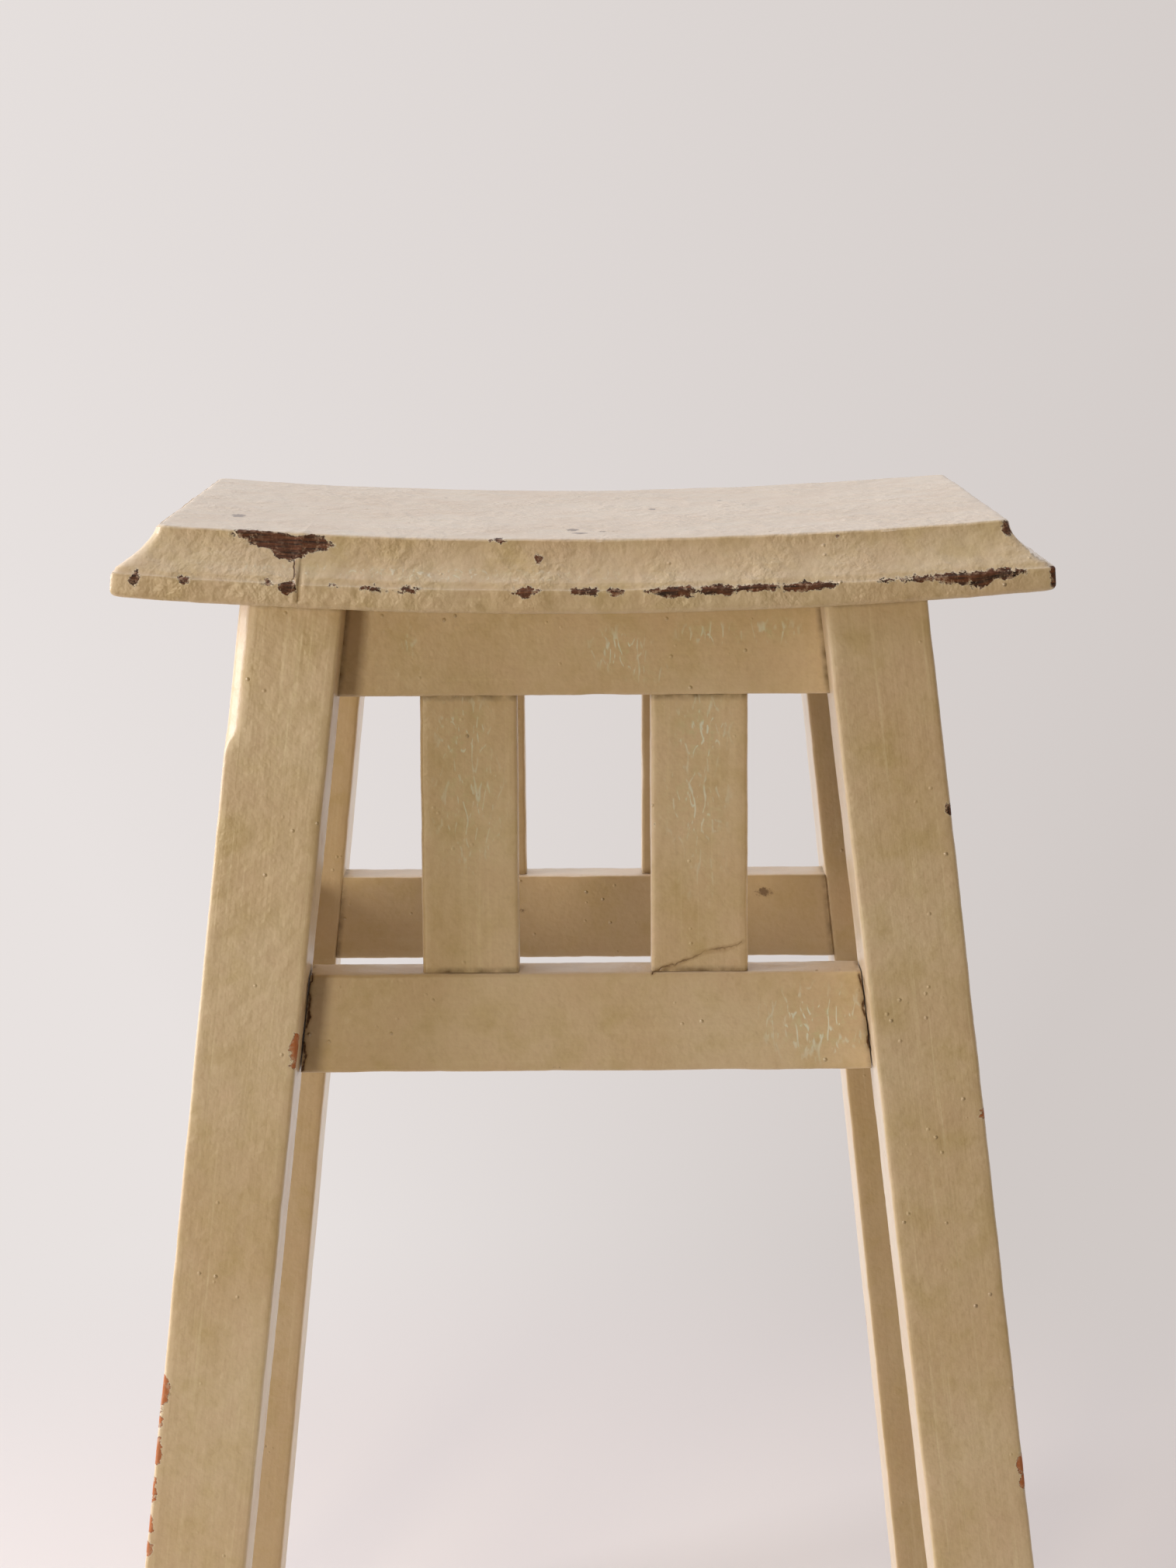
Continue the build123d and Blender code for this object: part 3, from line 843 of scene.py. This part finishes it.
# In the front hollow: middle, drop below the seat's top, width and height in millimetres.
hollow_chips = [
    (-130, 1.0, 14, 4.4), (-121, 2.4, 16, 8.0), (-113, 4.4, 15, 12.0), (-104, 3.2, 13, 7.0),
    (-99, 3.8, 6, 2.4), (-33, 0.8, 5.0, 1.8), (-17, 7.0, 3.2, 3.6), (98, 2.0, 1.8, 1.6),
]
# On the seat's top: place in X and Y, half width and half depth in millimetres.
top_stains = [
    (-139, -48, 3.6, 7.5), (-4, -66, 3.2, 5.6), (-1, -78, 4.2, 3.6), (8, -72, 2.0, 2.6), (30, 10, 2.4, 4.0),
    (-152, -80, 1.4, 1.8), (-165, -96, 2.0, 1.0), (-160, -97, 1.6, 1.0), (60, 40, 1.8, 2.6),
    (-60, 55, 2.0, 2.4),
]


def front_face(x, drop):
    """A point on the seat's front, unbent: in the hollow, and on the nose below it."""
    inset = max(0.0, cove_width * (1 - drop * MM / cove_drop))
    return x * MM, -half_depth + inset, thickness - drop * MM


def seat_wear():
    chips = [
        (front_face(x, cove_drop / MM + 0.30 * high), (0.5 * wide * MM, 4 * MM, 0.5 * high * MM))
        for x, wide, high in ridge_chips
    ]
    chips += [
        (front_face(x, drop), (0.5 * wide * MM, 5.5 * MM, 0.5 * high * MM))
        for x, drop, wide, high in hollow_chips
    ]
    end = half_length / MM
    chips += [
        (front_face(end - 0.5, cove_drop / MM + 3), (2.6 * MM, 3.0 * MM, 6.5 * MM)),
        (front_face(end - cove_width / MM - 0.8, 2.2), (3.0 * MM, 4.0 * MM, 3.6 * MM)),
    ]
    marks = [(front_face(-60, 12), (90 * MM, 4 * MM, 3 * MM))]
    stains = [
        ((x * MM, y * MM, thickness), (wide * MM, deep * MM, 3 * MM)) for x, y, wide, deep in top_stains
    ]
    return chips, marks, stains


# Straight stretches from end to end in metres: two on the right slat, one below the big chip.
cracks = [
    ((0.0271, -0.098, down(179.7)), (0.046, -0.098, down(172.0))),
    ((0.046, -0.098, down(172.0)), (0.062, -0.098, down(168.5))),
    ((-0.1105, -0.100, down(12)), (-0.1095, -0.108, down(21))),
]


def rail_end_dirt_and_shade():
    """Dark lines where the ends of the front lower rail meet the legs: dirt in the joints and painted shade
    in the gaps.
    """
    low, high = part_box("lower_rail_front")
    front = level_span("lower_rail_front", (low[2] + high[2]) / 2)[2]
    inset = 0.7 * MM
    for name, side, way in (("leg_front_left", 1, 1), ("leg_front_right", 0, -1)):
        span = slant(name, 20 * MM, 200 * MM)
        start, stop = high[2] - 1.0 * MM, low[2] + (2.0 * MM if way > 0 else 9.0 * MM)
        yield tuple((span(z)[side] + way * inset, front, z) for z in (start, stop))


# dark lines at the rail's ends: dirt in the joints and painted shade in the gaps
cracks += rail_end_dirt_and_shade()


def leg_wear(place):
    """Chips on a leg's arrises, as millimetres below the top of the stool, side, half width and height."""
    left, right, front, back = range(4)
    span = slant("leg_" + place, 20 * MM, 200 * MM)
    lists = {
        "front_left": [
            (203, right, 3.4, 11), (209, right, 2.2, 4), (338, left, 3.2, 15), (351, left, 2.0, 6),
            (363, left, 2.8, 11), (378, left, 1.8, 9), (392, left, 2.0, 10), (402, left, 2.0, 9),
        ],
        "front_right": [
            (111, right, 3.0, 4.6), (230, right, 2.8, 4.6), (370, right, 2.4, 10), (378, right, 2.4, 6),
        ],
        "back_left": [(120, left, 2.0, 6), (300, right, 2.2, 8)],
        "back_right": [(180, right, 2.2, 7), (420, left, 2.0, 9)],
    }
    chips = []
    for drop, side, wide, high in lists[place]:
        z = down(drop)
        sides = span(z)
        outer = sides[front] if place.startswith("front") else sides[back]
        chips.append(((sides[side], outer, z), (wide * MM, 3.0 * MM, 0.5 * high * MM)))
    return chips


def spots_on(node, *spots):
    """Spots on a node's front face: x, drop below the stool's top, half width and half height."""
    y = level_span(node, down(spots[0][1]))[2]
    return [((x * MM, y, down(drop)), (wide * MM, 6 * MM, high * MM)) for x, drop, wide, high in spots]


# ------------------------------------------------------------------ the stool
painted = []
joints = [seat_points[name][:, 0].max() for name in boards[:-1]]
lines_s = seat_lines(half_length, joints)
lines_y = seat_lines(half_depth, [])
seat_spots = seat_wear()
for index, name in enumerate(boards):
    painted.append(seat_board(index, name, lines_s, lines_y, joints[0], *seat_spots))

for seed, place in enumerate(("front_left", "front_right", "back_left", "back_right")):
    planed = planed_width if place == "front_left" else 0.0
    painted.append(leg(place, 1.7 * seed + 2, chips=leg_wear(place), planed=planed))

rubs = {
    "apron_front": [(-68, 49, 3, 6), (14, 52, 13, 9), (50, 46, 15, 5), (74, 45, 12, 5), (24, 61, 11, 4)],
    "lower_rail_front": [(92, 200, 24, 16)],
    "slat_front_left": [(-47, 85, 12, 16), (-45, 122, 17, 34), (-42, 158, 13, 18)],
    "slat_front_right": [(46, 85, 12, 16), (44, 116, 15, 22), (46, 146, 16, 24)],
}
specks = {
    "apron_front": [(-62, 63, 0.9, 0.9)],
    "lower_rail_front": [(-107, 191, 1.0, 1.4), (-102, 206, 1.6, 0.9), (-12, 217, 3.0, 0.8)],
    "lower_rail_back": [(82, 188, 5.0, 2.6), (-30, 196, 4, 2)],
}
for seed, place in enumerate(("front", "back", "left", "right")):
    along = 0 if place in ("front", "back") else 1
    for kind, shift in (("apron_", 21), ("lower_rail_", 31)):
        node = kind + place
        wear = {}
        if node in rubs:
            wear["marks"] = spots_on(node, *rubs[node])
        if node in specks:
            wear["stains"] = spots_on(node, *specks[node])
        if node == "lower_rail_front":
            wear["gaps"] = rail_end_gaps
        painted.append(rail(node, 1.3 * seed + shift, along, **wear))
for seed, place in enumerate(("front_left", "front_right", "back_left", "back_right")):
    node = "slat_" + place
    wear = {"marks": spots_on(node, *rubs[node])} if node in rubs else {}
    painted.append(slat(node, 1.9 * seed + 41, **wear))

paint = enamel()
for piece in painted:
    piece.data.materials.append(paint)


def dress(node, material):
    data = bpy.data.objects[node].data
    data.materials.clear()
    data.materials.append(material)


timber, steel = bare_wood(), screw_steel()
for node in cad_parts:
    if node.startswith("corner_block") or node == "seat_dowels":
        dress(node, timber)
dress("seat_screws", steel)

floor()
surroundings()
lamp("key", (-2.0, -0.22, 1.05), lamp_aim, (1.3, 1.3), 49, (0.98, 0.96, 1.03))
lamp("fill", (-0.88, -2.05, 0.66), lamp_aim, (0.42, 0.42), 11.3, (1.0, 0.85, 0.60))
camera()
bpy.context.scene.view_settings.view_transform = "Standard"
